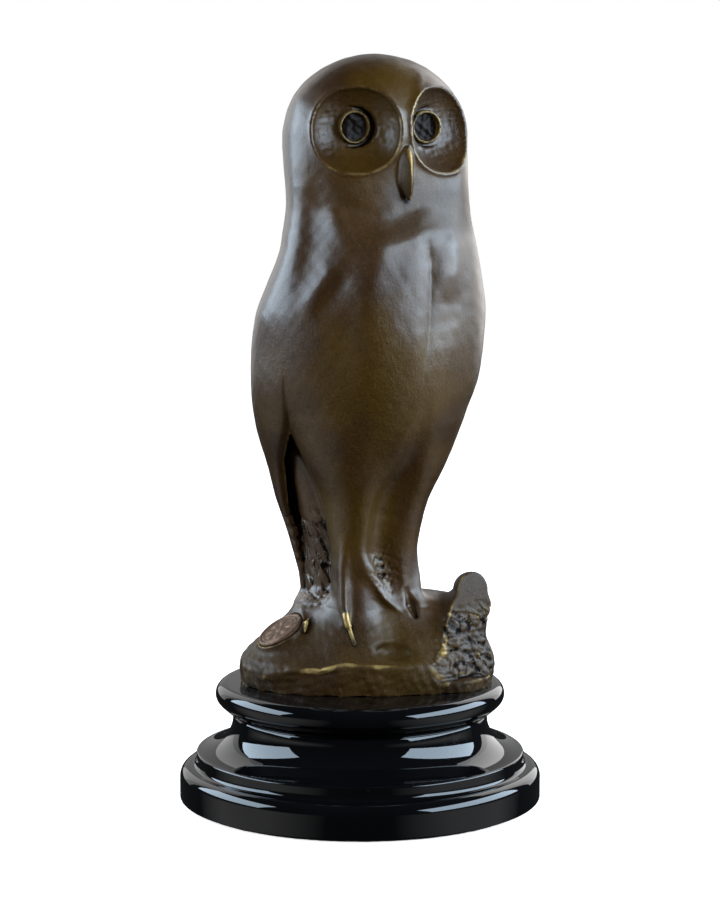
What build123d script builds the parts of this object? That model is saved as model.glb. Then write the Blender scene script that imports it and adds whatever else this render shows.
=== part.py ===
"""Owl figurine: a hollow bronze casting of an owl on a rock, clamped to a two-piece turned marble plinth.

Frame: +Z up, origin at the centre of the felt's underside, the owl faces -Y. Sizes are in millimetres.
"""

import math
import os

from build123d import *

# ---- Driving dimensions -------------------------------------------------------------------
PLINTH_RADIUS = 63.5  # foot of the plinth, a 5 inch round
PLINTH_TOP_Z = 42.0
JOINT_Z = 30.8  # where the two marble turnings meet
FELT_THICKNESS = 1.0
OWL_AXIS_X = 2.0  # the owl stands this far off the plinth's axis
WALL = 4.0  # bronze wall
CROWN_Z = 260.0
ROCK_TURN = -25.0  # degrees from the owl's front to the rock's long side

# ---- Fixing: an M6 stud through the plinth --------------------------------------------------
STUD_RADIUS = 3.0
STUD_BORE_RADIUS = 3.5  # clearance hole in the marble
STUD_BOTTOM_Z = 2.6
RECESS_RADIUS = 11.0
RECESS_TOP_Z = 13.0
CUSHION_THICKNESS = 1.5
CUSHION_RADIUS = 10.0
WASHER_RADIUS = 9.0
WASHER_THICKNESS = 1.6
NUT_WIDTH = 10.0
NUT_THICKNESS = 5.2
JAM_NUT_THICKNESS = 3.2
NUT_CHAMFER = 0.5
THREAD_GAP = 0.02  # keeps mating threads from overlapping
BAR_BOTTOM_Z = 46.0
BAR_THICKNESS = 5.0
BAR_WIDTH = 12.0
BAR_LENGTH = 70.0

# ---- Plinth profile ---------------------------------------------------------------------------
FOOT_SIDE_TOP_Z = 8.6
FOOT_ROUND = 4.1
FOOT_EDGE = 0.6
CREST_RADIUS = 57.6
CREST_Z = 17.7
CREST_ROUND = 0.8
NECK_RADIUS = 44.8
NECK_FILLET_Z = 28.6
SCOTIA_CONTROL = (46.4, 20.6)  # pulls the scotia's curve in and down
CAP_RIM_RADIUS = 50.8
CAP_RIM_ROUND = 4.1

# ---- Owl sections: height, half width, front depth, back depth, centre y ----------------------
CLOAK_SECTIONS = [  # head, back, folded wings and tail
    (64.0, 14.2, 5.0, 6.5, 20.0),
    (72.0, 16.0, 5.5, 7.5, 19.0),
    (85.0, 19.3, 7.0, 10.0, 17.0),
    (99.0, 24.4, 10.0, 13.0, 15.0),
    (113.0, 29.5, 14.0, 17.0, 13.0),
    (127.0, 35.4, 21.0, 23.5, 7.3),
    (140.0, 39.7, 29.5, 28.0, 3.3),
    (151.0, 41.0, 34.0, 30.0, 0.8),
    (163.0, 41.5, 34.4, 31.0, -1.8),
    (174.0, 41.0, 32.6, 31.0, -5.2),
    (184.0, 38.6, 30.0, 31.0, -8.1),
    (194.0, 35.4, 26.0, 30.5, -11.2),
    (205.0, 33.2, 22.0, 29.4, -11.5),
    (218.0, 32.9, 22.2, 28.6, -9.3),
    (232.0, 32.8, 26.0, 28.0, -6.9),
]
BELLY_SECTIONS = [  # breast, belly and the top of the trousers
    (95.0, 9.0, 6.6, 5.0, -7.2),
    (104.0, 15.0, 11.4, 8.0, -7.4),
    (113.0, 20.0, 16.2, 11.0, -7.0),
    (122.0, 23.6, 20.6, 14.0, -6.6),
    (128.0, 27.0, 24.6, 16.0, -6.4),
    (134.0, 31.3, 28.4, 18.0, -5.4),
    (140.0, 35.2, 31.2, 20.0, -4.0),
    (146.0, 37.8, 33.2, 22.0, -2.6),
    (152.0, 39.0, 34.2, 24.0, -1.8),
    (158.0, 38.6, 33.6, 24.0, -1.6),
]
CORE_SECTIONS = [  # inside of the hollow body
    (112.0, 11.0, 8.0, 7.0, -5.5),
    (127.0, 20.0, 17.0, 11.0, -6.5),
    (145.0, 32.8, 27.5, 22.0, -3.0),
    (163.0, 37.2, 30.0, 27.0, -1.8),
    (184.0, 34.4, 26.0, 27.0, -8.1),
    (205.0, 29.0, 17.8, 25.4, -11.5),
    (226.0, 28.0, 11.5, 24.0, -7.8),
]
DOME_ANGLES = (18, 36, 52, 66, 78, 86)  # where sections close a dome, 90 being its top
LEG_OFFSET_X = 8.0
LEG_SECTIONS = [  # height, half width, half depth, centre y
    (54.0, 11.5, 12.0, -9.0),
    (64.0, 9.4, 10.6, -8.6),
    (76.0, 8.3, 9.2, -7.8),
    (90.0, 8.2, 9.0, -7.2),
    (99.0, 8.8, 10.2, -7.2),
    (108.0, 10.4, 12.4, -7.6),
    (116.0, 12.0, 14.4, -7.8),
]
LEG_CORE_RADIUS = 2.6
UNDERTAIL_SECTIONS = [  # coverts between the legs and the tail
    (56.0, 18.4, 14.0, 10.0),
    (72.0, 17.4, 13.0, 9.5),
    (86.0, 17.8, 13.4, 9.0),
    (100.0, 20.2, 14.0, 8.5),
    (114.0, 23.6, 14.6, 7.6),
]
# Slot between each wing and the trousers: height, distance out, half width, half depth, centre y
WING_GAP_SECTIONS = [
    (74.0, 17.6, 0.8, 4.0, 10.0),
    (90.0, 19.2, 1.4, 6.0, 9.0),
    (106.0, 23.0, 1.7, 7.0, 7.0),
    (120.0, 28.2, 1.8, 7.0, 1.0),
    (131.0, 33.0, 1.4, 6.0, -6.0),
]

# ---- Face ------------------------------------------------------------------------------------
DISC_X, DISC_Y, DISC_Z = 15.4, -25.6, 234.3  # centre of each facial disc's rim plane
DISC_SPLAY = 25.0
DISC_RADIUS = 14.7
DISC_DEPTH = 6.4
EYE_X, EYE_Z = 13.4, 235.4  # axis of each eye, which looks straight ahead
EYE_FRONT_Y = -20.8
EYE_RADIUS = 5.1
EYE_RING = 0.9
EYE_SEAT_DEPTH = 1.3
PUPIL_DEPTH = 1.6
BEAK_SECTIONS = [  # height, half width, half depth, centre y
    (232.0, 2.0, 2.5, -28.4),
    (226.0, 3.5, 4.4, -30.6),
    (219.0, 3.1, 4.4, -32.0),
    (214.5, 1.6, 2.2, -33.8),
    (211.4, 0.4, 0.6, -35.2),
]

# ---- Rock, in its own turned frame: height, left, right, front, back reach ----------------------
ROCK_SECTIONS = [
    (PLINTH_TOP_Z, -41.5, 42.6, -28.1, 33.6),
    (47.0, -42.2, 44.4, -28.8, 34.5),
    (51.5, -41.0, 44.0, -28.4, 34.4),
    (55.0, -37.4, 42.4, -24.6, 33.8),
    (60.0, -31.4, 39.6, -19.8, 32.5),
    (66.0, -24.2, 35.0, -14.2, 31.0),
    (70.0, -17.0, 25.0, -9.0, 26.0),
]
# Slab at the right, before its front broke off: height, centre x, centre y, half x, half y
LOBE_SECTIONS = [
    (43.0, 34.2, -3.5, 10.4, 15.5),
    (52.0, 34.8, -3.5, 10.0, 15.5),
    (58.0, 34.6, -4.7, 8.2, 14.2),
    (64.0, 34.8, -6.0, 7.2, 13.0),
    (70.0, 36.8, -6.2, 7.0, 11.2),
    (75.0, 39.0, -5.5, 6.4, 9.0),
    (79.0, 39.6, -4.6, 4.6, 6.0),
    (81.0, 39.8, -4.2, 2.6, 3.2),
]
BREAK_POINT = (30.0, -17.0, 62.0)  # on the slab's broken face, in the rock's frame
BREAK_NORMAL = (0.62, -0.74, 0.25)
BREAK_LOW_Z, BREAK_HIGH_Z = 46.0, 84.0
ROCK_CORE_SECTIONS = [  # hollow under the rock: height, left, right, front, back reach
    (PLINTH_TOP_Z - 1.0, -33.0, 33.0, -22.0, 27.0),
    (50.0, -33.0, 33.0, -22.0, 27.0),
    (58.0, -24.0, 23.0, -17.0, 24.0),
]
TOE_RADIUS = 2.2
TOES = [  # start and end of the fold that each foot throws over the rock
    ((-10.4, -11.0, 84.0), (-12.6, -16.0, 68.0)),
    ((-3.6, -14.0, 82.0), (9.5, -18.4, 66.2)),
    ((14.4, -11.6, 78.0), (14.0, -17.4, 66.4)),
]

# ---- Foundry seal ------------------------------------------------------------------------------
SEAL_RADIUS = 8.4
SEAL_THICKNESS = 1.6
SEAL_RIM = 0.8
SEAL_RELIEF = 0.35
SEAL_CENTRE = (-27.4, -9.6, 61.0)  # in the rock's frame
SEAL_NORMAL = (-0.50, -0.22, 0.84)
PETALS = 8


def section_loft(sections):
    """Loft through closed sections made of a front and a back half ellipse."""
    faces = []
    for z, width, front, back, centre_y in sections:
        front_arc = EllipticalCenterArc((0, 0), width, front, start_angle=180, arc_size=180)
        back_arc = EllipticalCenterArc((0, 0), width, back, start_angle=0, arc_size=180)
        faces.append(Plane((OWL_AXIS_X, centre_y, z)) * make_face(Wire([front_arc, back_arc])))
    return loft(faces)


def ellipse_loft(sections, centre_x=0.0):
    """Loft through plain ellipses given as height, half width, half depth, centre y."""
    return loft([Plane((centre_x, y, z)) * Ellipse(a, b) for z, a, b, y in sections])


def domed(sections, top_z):
    """The sections, followed by ones that close over the last of them like an ellipsoid."""
    z, width, front, back, centre_y = sections[-1]
    closing = []
    for angle in DOME_ANGLES:
        shrink = math.cos(math.radians(angle))
        height = z + (top_z - z) * math.sin(math.radians(angle)) / math.sin(math.radians(DOME_ANGLES[-1]))
        closing.append((height, width * shrink, front * shrink, back * shrink, centre_y))
    return sections + closing


def reach_loft(sections):
    """Loft through rounded outlines given by how far they reach left, right, front and back."""
    faces = []
    for z, left, right, front, back in sections:
        corner = 0.74  # how far the outline fills its corners
        points = [
            (right, 0.5 * (front + back) * 0.3),
            (right * corner, back * corner),
            (0, back),
            (left * corner, back * corner),
            (left, 0.5 * (front + back) * 0.3),
            (left * corner, front * corner),
            (0, front),
            (right * corner, front * corner),
        ]
        faces.append(Plane.XY.offset(z) * make_face(Spline(*points, periodic=True)))
    return loft(faces)


def disc_frame(side):
    """Plane on a facial disc's rim, its z direction pointing out of the face."""
    splay = math.radians(DISC_SPLAY)
    outward = (side * math.sin(splay), -math.cos(splay), 0)
    return Plane((OWL_AXIS_X + side * DISC_X, DISC_Y, DISC_Z), x_dir=(0, 0, 1), z_dir=outward)


def seal_frame():
    """Plane on which the foundry seal is seated."""
    turn = Rot(0, 0, ROCK_TURN)
    centre = (turn * Pos(*SEAL_CENTRE)).position
    normal = Vector(*SEAL_NORMAL).rotate(Axis.Z, ROCK_TURN)
    return Plane(centre, z_dir=normal)


def tapered_toe(start, end):
    """Straight toe that thins to a claw."""
    along = Vector(*end) - Vector(*start)
    length = along.length
    return Plane(start, z_dir=along) * Pos(0, 0, length / 2) * Cone(TOE_RADIUS, TOE_RADIUS * 0.35, length)


def owl_outside():
    owl = section_loft(domed(CLOAK_SECTIONS, CROWN_Z)) + section_loft(BELLY_SECTIONS)
    owl += ellipse_loft(UNDERTAIL_SECTIONS, OWL_AXIS_X)
    for side in (-1, 1):
        owl += ellipse_loft(LEG_SECTIONS, OWL_AXIS_X + side * LEG_OFFSET_X)
        gap = [Plane((OWL_AXIS_X + side * x, y, z)) * Ellipse(a, b) for z, x, a, b, y in WING_GAP_SECTIONS]
        owl -= loft(gap)
    return owl


def facing_cylinder(x, radius, front_y, back_y):
    """Cylinder at eye height whose axis points straight ahead."""
    middle_y = (front_y + back_y) / 2
    return Pos(x, middle_y, EYE_Z) * Rot(90, 0, 0) * Cylinder(radius, back_y - front_y)


def add_face(owl):
    """Dishes the facial discs, seats an eye in each and adds the beak."""
    dish_radius = (DISC_RADIUS**2 + DISC_DEPTH**2) / (2 * DISC_DEPTH)
    for side in (-1, 1):
        owl -= disc_frame(side) * Pos(0, 0, dish_radius - DISC_DEPTH) * Sphere(dish_radius)
        x = OWL_AXIS_X + side * EYE_X
        seat_radius = EYE_RADIUS + EYE_SEAT_DEPTH
        owl -= facing_cylinder(x, seat_radius, EYE_FRONT_Y - 6.0, EYE_FRONT_Y + EYE_SEAT_DEPTH)
        owl += facing_cylinder(x, EYE_RADIUS, EYE_FRONT_Y, EYE_FRONT_Y + 6.0)
        owl -= facing_cylinder(x, EYE_RADIUS - EYE_RING, EYE_FRONT_Y - 1.0, EYE_FRONT_Y + PUPIL_DEPTH)
    return owl + ellipse_loft(BEAK_SECTIONS, OWL_AXIS_X)


def broken_off():
    """The part of the slab that is missing in front of its broken face."""
    ahead = Plane(BREAK_POINT, z_dir=BREAK_NORMAL) * Pos(0, 0, 30.0) * Box(70, 70, 60)
    height = BREAK_HIGH_Z - BREAK_LOW_Z
    layer = Pos(0, 0, BREAK_LOW_Z + height / 2) * Box(200, 200, height)
    return ahead & layer


def rock_outside():
    slab = loft([Plane((x, y, z)) * Ellipse(a, b) for z, x, y, a, b in LOBE_SECTIONS])
    rock = Rot(0, 0, ROCK_TURN) * (reach_loft(ROCK_SECTIONS) + slab - broken_off())
    for start, end in TOES:
        rock += tapered_toe(start, end)
    return rock


def hollow():
    """The core: hollow body, a channel down each leg and the space under the rock."""
    core = section_loft(domed(CORE_SECTIONS, CROWN_Z - WALL))
    core += Rot(0, 0, ROCK_TURN) * reach_loft(ROCK_CORE_SECTIONS)
    for side in (-1, 1):
        channel = Cylinder(LEG_CORE_RADIUS, 68.0)
        core += Pos(OWL_AXIS_X + side * LEG_OFFSET_X, -6.4, 86.0) * channel
    return core


def bridge_blank():
    return Pos(0, 0, BAR_BOTTOM_Z + BAR_THICKNESS / 2) * Rot(0, 0, ROCK_TURN) * Box(
        BAR_LENGTH, BAR_WIDTH, BAR_THICKNESS
    )


def owl_casting():
    casting = add_face(owl_outside()) + rock_outside()
    seat = seal_frame()
    casting += seat * Pos(0, 0, -3.0) * Cylinder(SEAL_RADIUS + 0.4, 6.0)
    casting -= seat * Pos(0, 0, 5.0) * Cylinder(SEAL_RADIUS + 0.4, 10.0)
    casting -= hollow()
    casting -= bridge_blank()
    below = Pos(0, 0, PLINTH_TOP_Z - 25.0) * Box(200, 200, 50)
    return casting - below


def foundry_seal():
    """Plain round seal: a raised rim, a ring of petals and a boss, with no lettering."""
    seal = Pos(0, 0, SEAL_THICKNESS / 2) * Cylinder(SEAL_RADIUS, SEAL_THICKNESS)
    floor_z = SEAL_THICKNESS - SEAL_RELIEF
    field = Pos(0, 0, floor_z + 1.0) * Cylinder(SEAL_RADIUS - SEAL_RIM, 2.0)
    seal -= field
    seal += Pos(0, 0, floor_z + SEAL_RELIEF / 2) * Cylinder(1.4, SEAL_RELIEF)
    for i in range(PETALS):
        petal = extrude(Ellipse(1.9, 0.8), SEAL_RELIEF / 2, both=True)
        seal += Rot(0, 0, i * 360 / PETALS) * Pos(4.3, 0, floor_z + SEAL_RELIEF / 2) * petal
    return seal_frame() * seal


def turned(profile_wires):
    """Solid of revolution about the plinth's axis from edges drawn in the XZ plane."""
    return revolve(make_face(Wire(profile_wires)), Axis.Z)


def xz(r, z):
    return (r, 0, z)


def plinth_foot():
    """Lower marble turning: upright side, quarter round, cove, crest and a long scotia to the neck."""
    top_of_round = FOOT_SIDE_TOP_Z + FOOT_ROUND
    round_radius = PLINTH_RADIUS - FOOT_ROUND
    cove = CREST_RADIUS + 1.6
    edges = [
        Line(xz(0, FELT_THICKNESS), xz(PLINTH_RADIUS - FOOT_EDGE, FELT_THICKNESS)),
        Line(xz(PLINTH_RADIUS - FOOT_EDGE, FELT_THICKNESS), xz(PLINTH_RADIUS, FELT_THICKNESS + FOOT_EDGE)),
        Line(xz(PLINTH_RADIUS, FELT_THICKNESS + FOOT_EDGE), xz(PLINTH_RADIUS, FOOT_SIDE_TOP_Z)),
        ThreePointArc(
            xz(PLINTH_RADIUS, FOOT_SIDE_TOP_Z),
            xz(round_radius + FOOT_ROUND * math.sqrt(0.5), FOOT_SIDE_TOP_Z + FOOT_ROUND * math.sqrt(0.5)),
            xz(round_radius, top_of_round),
        ),
        ThreePointArc(
            xz(round_radius, top_of_round),
            xz(cove - 0.6, top_of_round + 0.9),
            xz(CREST_RADIUS, top_of_round + 2.6),
        ),
        Line(xz(CREST_RADIUS, top_of_round + 2.6), xz(CREST_RADIUS, CREST_Z - CREST_ROUND)),
        ThreePointArc(
            xz(CREST_RADIUS, CREST_Z - CREST_ROUND),
            xz(CREST_RADIUS - CREST_ROUND * 0.29, CREST_Z - CREST_ROUND * 0.29),
            xz(CREST_RADIUS - CREST_ROUND, CREST_Z),
        ),
        Bezier(xz(CREST_RADIUS - CREST_ROUND, CREST_Z), xz(*SCOTIA_CONTROL), xz(NECK_RADIUS, NECK_FILLET_Z)),
        Line(xz(NECK_RADIUS, NECK_FILLET_Z), xz(NECK_RADIUS, JOINT_Z)),
        Line(xz(NECK_RADIUS, JOINT_Z), xz(0, JOINT_Z)),
        Line(xz(0, JOINT_Z), xz(0, FELT_THICKNESS)),
    ]
    foot = turned(edges)
    foot -= Pos(0, 0, JOINT_Z / 2) * Cylinder(STUD_BORE_RADIUS, JOINT_Z + 10)
    foot -= Pos(0, 0, RECESS_TOP_Z / 2) * Cylinder(RECESS_RADIUS, RECESS_TOP_Z)
    return foot


def plinth_cap():
    """Upper marble turning: an undercut rising to a rounded rim, and the flat that carries the bronze."""
    rim_r = CAP_RIM_RADIUS - CAP_RIM_ROUND
    rim_z = PLINTH_TOP_Z - CAP_RIM_ROUND
    start = math.radians(-52)
    arc_start = (rim_r + CAP_RIM_ROUND * math.cos(start), rim_z + CAP_RIM_ROUND * math.sin(start))
    edges = [
        Line(xz(0, JOINT_Z), xz(NECK_RADIUS + 0.2, JOINT_Z)),
        Line(xz(NECK_RADIUS + 0.2, JOINT_Z), xz(*arc_start)),
        ThreePointArc(xz(*arc_start), xz(CAP_RIM_RADIUS, rim_z), xz(rim_r, PLINTH_TOP_Z)),
        Line(xz(rim_r, PLINTH_TOP_Z), xz(0, PLINTH_TOP_Z)),
        Line(xz(0, PLINTH_TOP_Z), xz(0, JOINT_Z)),
    ]
    middle_z = (JOINT_Z + PLINTH_TOP_Z) / 2
    return turned(edges) - Pos(0, 0, middle_z) * Cylinder(STUD_BORE_RADIUS, 40)


def bridge_bar():
    """Steel bar brazed across the hollow rock, tapped for the stud."""
    bore = Pos(0, 0, BAR_BOTTOM_Z) * Cylinder(STUD_RADIUS + THREAD_GAP, 20)
    return bridge_blank() - bore


def ring(inner, outer, low_z, thickness):
    middle = Pos(0, 0, low_z + thickness / 2)
    return middle * (Cylinder(outer, thickness) - Cylinder(inner, thickness + 2))


def hex_nut(low_z, thickness):
    """Hexagon nut with its corners turned off at both faces."""
    across_corners = NUT_WIDTH / math.cos(math.radians(30))
    blank = extrude(RegularPolygon(across_corners / 2, 6), thickness)
    cone_radius = across_corners / 2 - NUT_CHAMFER
    turned_blank = revolve(
        make_face(
            Polyline(
                (0, 0, 0),
                (cone_radius, 0, 0),
                (cone_radius + 2 * NUT_CHAMFER, 0, NUT_CHAMFER),
                (cone_radius + 2 * NUT_CHAMFER, 0, thickness - NUT_CHAMFER),
                (cone_radius, 0, thickness),
                (0, 0, thickness),
                close=True,
            )
        ),
        Axis.Z,
    )
    bore = Pos(0, 0, thickness / 2) * Cylinder(STUD_RADIUS + THREAD_GAP, thickness + 2)
    return Pos(0, 0, low_z) * ((blank & turned_blank) - bore)


def tie_stud():
    top_z = BAR_BOTTOM_Z + BAR_THICKNESS + JAM_NUT_THICKNESS + 1.4
    length = top_z - STUD_BOTTOM_Z
    stud = Cylinder(STUD_RADIUS, length)
    stud = chamfer(stud.edges().filter_by(GeomType.CIRCLE), 0.5)
    return Pos(0, 0, STUD_BOTTOM_Z + length / 2) * stud


def build_parts():
    cushion_z = RECESS_TOP_Z - CUSHION_THICKNESS
    washer_z = cushion_z - WASHER_THICKNESS
    return {
        "owl_casting": owl_casting(),
        "foundry_seal": foundry_seal(),
        "plinth_cap": plinth_cap(),
        "plinth_foot": plinth_foot(),
        "bridge_bar": bridge_bar(),
        "tie_stud": tie_stud(),
        "jam_nut": hex_nut(BAR_BOTTOM_Z + BAR_THICKNESS, JAM_NUT_THICKNESS),
        "cushion_washer": ring(STUD_BORE_RADIUS, CUSHION_RADIUS, cushion_z, CUSHION_THICKNESS),
        "steel_washer": ring(STUD_RADIUS + 0.2, WASHER_RADIUS, washer_z, WASHER_THICKNESS),
        "fixing_nut": hex_nut(washer_z - NUT_THICKNESS, NUT_THICKNESS),
        "base_felt": ring(RECESS_RADIUS, PLINTH_RADIUS - 2.5, 0.0, FELT_THICKNESS),
    }


os.makedirs("parts", exist_ok=True)
for node, shape in build_parts().items():
    export_step(shape, f"parts/{node}.step")
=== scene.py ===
"""Owl figurine: bronze owl and rock, copper seal, black marble plinth, felt and fixing, on a pale floor.

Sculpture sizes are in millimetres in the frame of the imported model; meshes are made in metres.
"""

import math
from concurrent.futures import ThreadPoolExecutor

import bmesh
import bpy
import numpy as np
import openvdb
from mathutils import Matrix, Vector


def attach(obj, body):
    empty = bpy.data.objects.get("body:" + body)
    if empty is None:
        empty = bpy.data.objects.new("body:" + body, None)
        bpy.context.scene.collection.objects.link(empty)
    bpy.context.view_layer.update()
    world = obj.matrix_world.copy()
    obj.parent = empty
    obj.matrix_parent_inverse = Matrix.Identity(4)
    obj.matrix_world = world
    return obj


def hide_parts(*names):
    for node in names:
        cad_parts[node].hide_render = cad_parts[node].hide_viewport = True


MM = 0.001

# ---- Sculpture dimensions (millimetres) ----
AXIS_X = 2.0  # the owl stands this far off the plinth's axis
ROCK_TURN = math.radians(25.0)  # the rock's long side, from the owl's front
ROCK_BASE_Z = 42.0
CELL = 0.45  # spacing of the sculpting grid

# Back, wings and tail. Columns: height, half width, front depth, back depth, centre y.
CLOAK = [
    (60, 14.2, 5.0, 6.5, 20.0),
    (72, 16.0, 5.5, 7.5, 19.0),
    (78, 17.2, 6.0, 8.5, 18.0),
    (85, 19.3, 7.0, 10.0, 17.0),
    (92, 21.6, 8.4, 11.5, 16.0),
    (99, 24.4, 10.0, 13.0, 15.0),
    (106, 27.2, 12.0, 15.0, 14.0),
    (113, 29.5, 14.6, 17.1, 12.6),
    (120, 32.2, 17.2, 20.1, 10.2),
    (127, 35.4, 22.5, 23.5, 7.3),
    (140, 39.7, 30.5, 28.0, 3.3),
    (151, 41.0, 37.2, 30.0, 0.4),
    (158, 41.3, 37.2, 30.6, -0.9),
    (163, 41.5, 36.3, 31.0, -1.8),
    (174, 41.0, 32.4, 31.0, -5.2),
    (184, 38.6, 28.6, 31.0, -8.1),
    (194, 35.4, 24.4, 30.5, -11.2),
    (202, 33.5, 22.2, 29.6, -11.6),
    (210, 33.0, 21.2, 29.0, -11.0),
    (218, 32.9, 22.2, 28.6, -9.3),
    (225, 33.0, 24.0, 28.3, -8.3),
    (232, 32.8, 25.3, 28.0, -7.6),
]
CROWN = (232.0, 28.0)  # where the crown's dome starts and how high it rises
# Breast and belly, which part from the wings below the shoulders; the same columns.
TORSO = [
    (98, 7.0, 5.0, 5.0, -7.0),
    (106, 13.0, 8.6, 9.0, -7.2),
    (114, 19.0, 14.6, 12.0, -7.0),
    (122, 23.6, 21.2, 15.0, -6.4),
    (128, 27.2, 26.2, 17.0, -5.5),
    (134, 31.3, 30.3, 19.0, -3.9),
    (140, 35.6, 33.9, 22.0, -1.8),
    (146, 38.7, 36.2, 26.0, -0.7),
    (152, 40.5, 37.2, 29.0, -0.5),
    (158, 41.3, 37.2, 30.6, -0.9),
] + [row for row in CLOAK if row[0] > 158]
UNDERTAIL = [
    (50, 19.0, 14.0, 16.0, 10.0),
    (72, 17.6, 12.5, 14.0, 9.5),
    (86, 17.8, 13.0, 15.0, 9.0),
    (100, 20.2, 14.0, 17.0, 8.5),
    (107, 21.8, 14.6, 18.0, 8.2),
    (114, 23.6, 15.0, 19.0, 7.6),
    (122, 25.5, 15.0, 19.0, 6.4),
]
LEG = [  # the last number is how far each leg stands from the owl's middle
    (50, 11.5, 11.5, 12.0, -9.0, 7.4),
    (62, 9.6, 10.4, 11.0, -8.8, 7.4),
    (72, 8.5, 9.2, 9.5, -8.0, 7.5),
    (82, 8.1, 8.6, 8.5, -7.4, 7.6),
    (92, 8.2, 9.2, 8.8, -7.0, 7.8),
    (99, 8.6, 10.6, 9.8, -7.2, 8.4),
    (106, 9.4, 12.4, 11.0, -7.6, 9.4),
    (113, 10.8, 14.8, 12.0, -8.0, 10.6),
    (120, 12.8, 16.8, 13.0, -8.5, 11.6),
    (128, 14.8, 18.5, 14.0, -8.6, 12.6),
    (136, 16.0, 20.0, 14.0, -8.0, 13.0),
]
# height, and the y to which the wing reaches forward there
WING_EDGE = [(72, 17.0), (85, 15.0), (92, 13.6), (99, 12.6), (106, 11.2), (113, 8.6), (120, 4.6)]
WING_EDGE += [(127, -1.5), (133, -6.5), (140, -11.0), (150, -15.0), (158, -18.0), (163, -60.0)]
WING_THICKNESS = 2.3
BODY_BLEND = [(60, 1.0), (120, 1.0), (140, 0.8), (150, 0.1), (240, 0.1)]  # between wings and body
SOFT_HEIGHTS = (116, 240)  # between these the body's ripples are smoothed out
ROCK_UP_TO, FOLDS_FROM, LEGS_UP_TO, FACE_FROM = 112, 122, 150, 205

DISC_X, DISC_Y, DISC_Z = 14.4, -23.8, 234.3
DISC_SPLAY = math.radians(25.0)
DISC_HALF_WIDTH, DISC_HALF_HEIGHT = 15.1, 14.4
DISC_DEPTH = 9.6
EYE_X, EYE_Y, EYE_Z = 13.4, -20.8, 235.4  # middle of the front of the ring round the eye
EYE_OUTER, EYE_INNER = 5.5, 4.7
EYE_MIDDLE = 0.5 * (EYE_OUTER + EYE_INNER)

BEAK = [  # the same columns as the body's
    (211.2, 0.3, 0.6, 1.0, -35.0),
    (213.0, 1.3, 1.8, 3.0, -34.2),
    (215.5, 2.3, 3.6, 4.0, -32.8),
    (219.0, 3.2, 5.6, 5.0, -31.0),
    (223.0, 3.6, 5.8, 6.0, -30.4),
    (226.5, 3.6, 4.8, 6.0, -30.4),
    (229.0, 2.4, 3.2, 6.0, -30.4),
]

# rock in its own turned frame: height, left, right, front and back reach
ROCK = [
    (40.0, -41.0, 41.5, -27.8, 33.0),
    (44.0, -42.0, 43.6, -28.4, 34.0),
    (48.0, -42.2, 44.6, -28.8, 34.6),
    (51.5, -41.0, 44.0, -28.4, 34.4),
    (54.0, -38.6, 43.0, -25.4, 34.0),
    (58.0, -34.0, 42.0, -21.6, 33.0),
    (62.0, -28.8, 42.0, -18.0, 32.0),
    (66.0, -24.2, 42.0, -14.2, 31.0),
    (70.0, -21.4, 41.0, -10.5, 30.0),
]
ROCK_TOP = (68.0, 5.0)  # where its top starts to round and how high it rises
# height, half width, front depth, back depth, centre across and centre along the rock
LOBE = [
    (42.0, 10.2, 19.0, 12.0, 0.0, 34.0),
    (47.0, 10.6, 19.0, 12.0, 0.0, 34.3),
    (52.0, 10.0, 19.0, 12.0, 0.0, 34.8),
    (58.0, 7.8, 18.5, 10.0, -0.5, 34.6),
    (64.0, 7.2, 18.0, 8.0, -1.0, 34.8),
    (70.0, 7.0, 16.0, 6.5, -1.5, 36.8),
    (75.0, 6.4, 12.5, 5.5, -2.0, 39.0),
]
LOBE_TOP = (75.0, 6.0)
BREAK_POINT = (30.0, -17.0, 62.0)  # on the broken face, in the rock's frame
BREAK_NORMAL = (0.62, -0.74, 0.25)
CREST = [(-38.0, -5.0, 47.6), (-32.0, -12.4, 50.4), (-24.0, -19.4, 50.8), (-16.0, -22.6, 52.6)]
CREST += [(-5.5, -28.0, 51.8), (2.5, -30.6, 51.6), (9.5, -31.0, 52.8)]  # raised lip round the rock's front
CREST_RADII = [0.6] * len(CREST)

SEAL_RADIUS, SEAL_FIELD = 8.4, 1.15  # the field is the height of the ground that its relief rises from
SEAL_CENTRE = (-27.4, -9.6, 61.0)
SEAL_NORMAL = (-0.50, -0.22, 0.84)


# ---- Signed distances ----
def smooth_union(a, b, k):
    """What is in a or b, with a fillet of about k where they meet."""
    h = np.clip(0.5 + 0.5 * (b - a) / k, 0, 1)
    return b + (a - b) * h - k * h * (1 - h)


def smooth_cut(a, b, k):
    """What is in a and not in b."""
    return -smooth_union(-a, b, k)


def ease(low, high, value):
    """Rises from 0 at low to 1 at high, which may be the smaller of the two."""
    t = np.clip((value - low) / (high - low), 0, 1)
    return t * t * (3 - 2 * t)


def hill(distance, width):
    """1 at no distance and falling off evenly on both sides."""
    return np.exp(-((distance / width) ** 2))


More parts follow.
